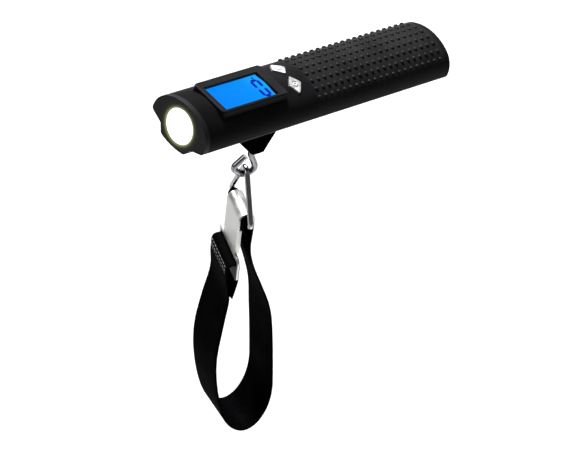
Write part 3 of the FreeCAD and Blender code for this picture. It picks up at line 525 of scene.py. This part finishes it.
def strap_line(step):
    """Evenly spaced (point, direction) along the strap's smooth middle line, in millimetres from BAR."""
    middles = [Vector(STRAP_CORNERS[0])]
    for a, b in zip(STRAP_CORNERS[1:-2], STRAP_CORNERS[2:-1]):
        middles.append((Vector(a) + Vector(b)) / 2)
    middles.append(Vector(STRAP_CORNERS[-1]))
    dense = []
    for start, corner, end in zip(middles, STRAP_CORNERS[1:-1], middles[1:]):
        for k in range(CURVE_STEPS):
            t = k / CURVE_STEPS
            dense.append(start * (1 - t) ** 2 + Vector(corner) * 2 * t * (1 - t) + end * t ** 2)
    dense.append(middles[-1])
    lengths = [0.0]
    for a, b in zip(dense, dense[1:]):
        lengths.append(lengths[-1] + (b - a).length)
    count = round(lengths[-1] / step)
    line, at = [], 0
    for k in range(count + 1):
        want = lengths[-1] * k / count
        while at < len(dense) - 2 and lengths[at + 1] < want:
            at += 1
        part = (want - lengths[at]) / max(lengths[at + 1] - lengths[at], 1e-9)
        line.append((dense[at].lerp(dense[at + 1], part), (dense[at + 1] - dense[at]).normalized(), want))
    return line


def strap_point(item, across, out):
    """A point of the strap: across is its width direction, out its distance from the middle line."""
    place, along, far = item
    x, z = place.x - along.y * out, place.y + along.x * out
    share = min(max((TWIST_TOP - place.y) / TWIST_RUN, 0.0), 1.0)
    turn = 0.0 if far > LENGTH - TAIL else TWIST * share * share * (3 - 2 * share)
    arm = x - TWIST_LINE
    x = TWIST_LINE + arm * math.cos(turn) - across * math.sin(turn)
    y = arm * math.sin(turn) + across * math.cos(turn)
    return (BAR + Vector((x, y, z))) * MM


LINE_STEP, COLUMNS = 0.42, 48
LINE = strap_line(LINE_STEP)
LENGTH = LINE[-1][2]
# the woven surface: rib height and slant, and the selvage's start, thinning, swell and scallop
RIB_HIGH, RIB_SLANT = 0.08, 2.6
EDGE_FROM, EDGE_THIN, EDGE_SWELL, SCALLOP, EDGE_IN = 0.9, 0.30, 0.06, 0.45, 0.15


def strap_mesh():
    verts, faces, coords = [], [], []
    for item in LINE:
        far = item[2]
        for side in (1, -1):
            for column in range(COLUMNS + 1):
                v = side * (2 * column / COLUMNS - 1)
                across = v * STRAP_WIDE / 2
                edge = max(0.0, (abs(v) - EDGE_FROM) / (1 - EDGE_FROM))
                rib = math.cos(2 * math.pi * (far / RIB + (across / RIB_SLANT if edge == 0 else 0)))
                selvage = math.cos(2 * math.pi * far / RIB)
                thick = (STRAP_THICK / 2 - RIB_HIGH + RIB_HIGH * rib - EDGE_THIN * edge ** 2
                         + EDGE_SWELL * edge * selvage)
                wide = across + math.copysign(edge * SCALLOP * selvage - edge * EDGE_IN, across)
                verts.append(strap_point(item, wide, side * thick))
                coords.append((far * MM, across * MM))
    ring = 2 * (COLUMNS + 1)
    for i in range(len(LINE) - 1):
        for k in range(ring):
            a, b = i * ring + k, i * ring + (k + 1) % ring
            faces.append((a, b, b + ring, a + ring))
    faces.append(tuple(reversed(range(ring))))
    faces.append(tuple(range((len(LINE) - 1) * ring, len(LINE) * ring)))
    return verts, faces, coords


verts, faces, coords = strap_mesh()
strap = piece("webbing_strap", (verts, faces), LOOKS["webbing"], "strap")
layer = strap.data.uv_layers.new(name="along_and_across")
for loop in strap.data.loops:
    layer.data[loop.index].uv = coords[loop.vertex_index]
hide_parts("strap_webbing")


STITCH_PITCH, STITCH_REACH, THREAD_RADIUS, STITCH_SIDES = 2.5, 0.92, 0.22, 6


def stitches(start, rows, pitch, reach):
    """Rows of thread across the strap's outer face, from a distance along it."""
    made = []
    for row in range(rows):
        want = start + row * pitch
        at = min(LINE, key=lambda item: abs(item[2] - want))
        count = int(2 * reach / STITCH_PITCH)
        for k in range(count):
            middle = -reach + (k + 0.5) * 2 * reach / count
            points = []
            # a stitch arches over the surface and sinks in at both ends
            for t in (-1.0, -0.75, -0.3, 0.3, 0.75, 1.0):
                rise = STRAP_THICK / 2 + 0.16 - 0.2 * t * t
                points.append(strap_point(at, middle + t * STITCH_REACH, rise))
            made.append(tube(points, THREAD_RADIUS * MM, STITCH_SIDES))
    return made


threads = (stitches(start=26.0, rows=2, pitch=6.0, reach=11.2)
           + stitches(start=LENGTH - 32.5, rows=3, pitch=1.9, reach=11.6))
stitching = piece("strap_stitching", gather(threads), THREAD, "strap")

# ---------------------------------------------------------------- floor and light

FLOOR_DROP, FLOOR_SIZE = 0.16, 14.0
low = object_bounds()[0]

floor_look, floor_nodes, floor_links, floor_shader = new_material("pale_floor")
floor_noise = noise(floor_nodes, floor_links, 3.0, 2.0)
tint(floor_nodes, floor_links, floor_noise.outputs["Fac"], (0.90, 0.90, 0.90), (0.93, 0.93, 0.93),
     floor_shader.inputs["Base Color"])
floor_shader.inputs["Roughness"].default_value = 0.9
floor_shader.inputs["Specular IOR Level"].default_value = 0.0
bpy.ops.mesh.primitive_plane_add(size=FLOOR_SIZE, location=(0, 0, low[2] - FLOOR_DROP))
plane = bpy.context.object
plane.name = "floor"
plane.data.materials.append(floor_look)


def hang(name, lamp, place, target):
    """Puts a lamp in the scene, turned to face target."""
    holder = bpy.data.objects.new(name, lamp)
    scene.collection.objects.link(holder)
    holder.location = place
    holder.rotation_euler = (Vector(target) - Vector(place)).to_track_quat("-Z", "Y").to_euler()


def area_light(name, place, target, size, power):
    lamp = bpy.data.lights.new(name, "AREA")
    lamp.shape = "RECTANGLE"
    lamp.size, lamp.size_y = size
    lamp.energy = power
    hang(name, lamp, place, target)


def spot_light(name, place, target, cone, power):
    lamp = bpy.data.lights.new(name, "SPOT")
    lamp.energy = power
    lamp.spot_size = math.radians(cone)
    lamp.spot_blend = 1.0
    lamp.shadow_soft_size = 0.06
    hang(name, lamp, place, target)


MIDDLE = (0, 0, -0.1)
area_light("top_softbox", (0.2, 0.9, 1.9), MIDDLE, (1.6, 1.0), 36)
area_light("left_softbox", (-1.9, -0.3, 1.1), MIDDLE, (0.8, 1.4), 10)
area_light("right_softbox", (1.5, -1.3, 1.2), MIDDLE, (0.4, 1.4), 1)
area_light("far_softbox", (0.1, 1.6, 1.25), (0.02, 0, 0), (1.2, 0.6), 40)
spot_light("grip_spot", (0.0, 0.62, 1.05), on_handle(72, 0, 8), 14, 400)

world = bpy.data.worlds.new("studio")
scene.world = world
world.use_nodes = True
sky_nodes, sky_links = world.node_tree.nodes, world.node_tree.links
sky_coords = sky_nodes.new("ShaderNodeTexCoord")
sky_split = sky_nodes.new("ShaderNodeSeparateXYZ")
sky_ramp = sky_nodes.new("ShaderNodeValToRGB")
sky_links.new(sky_coords.outputs["Generated"], sky_split.inputs["Vector"])
sky_links.new(sky_split.outputs["Z"], sky_ramp.inputs["Fac"])
sky_links.new(sky_ramp.outputs["Color"], sky_nodes["Background"].inputs["Color"])
sky_ramp.color_ramp.elements[0].color = (0.45, 0.45, 0.46, 1)
sky_ramp.color_ramp.elements[1].position = 0.7
sky_ramp.color_ramp.elements[1].color = (1, 1, 1, 1)
sky_nodes["Background"].inputs["Strength"].default_value = 0.3
scene.view_settings.view_transform = "Standard"
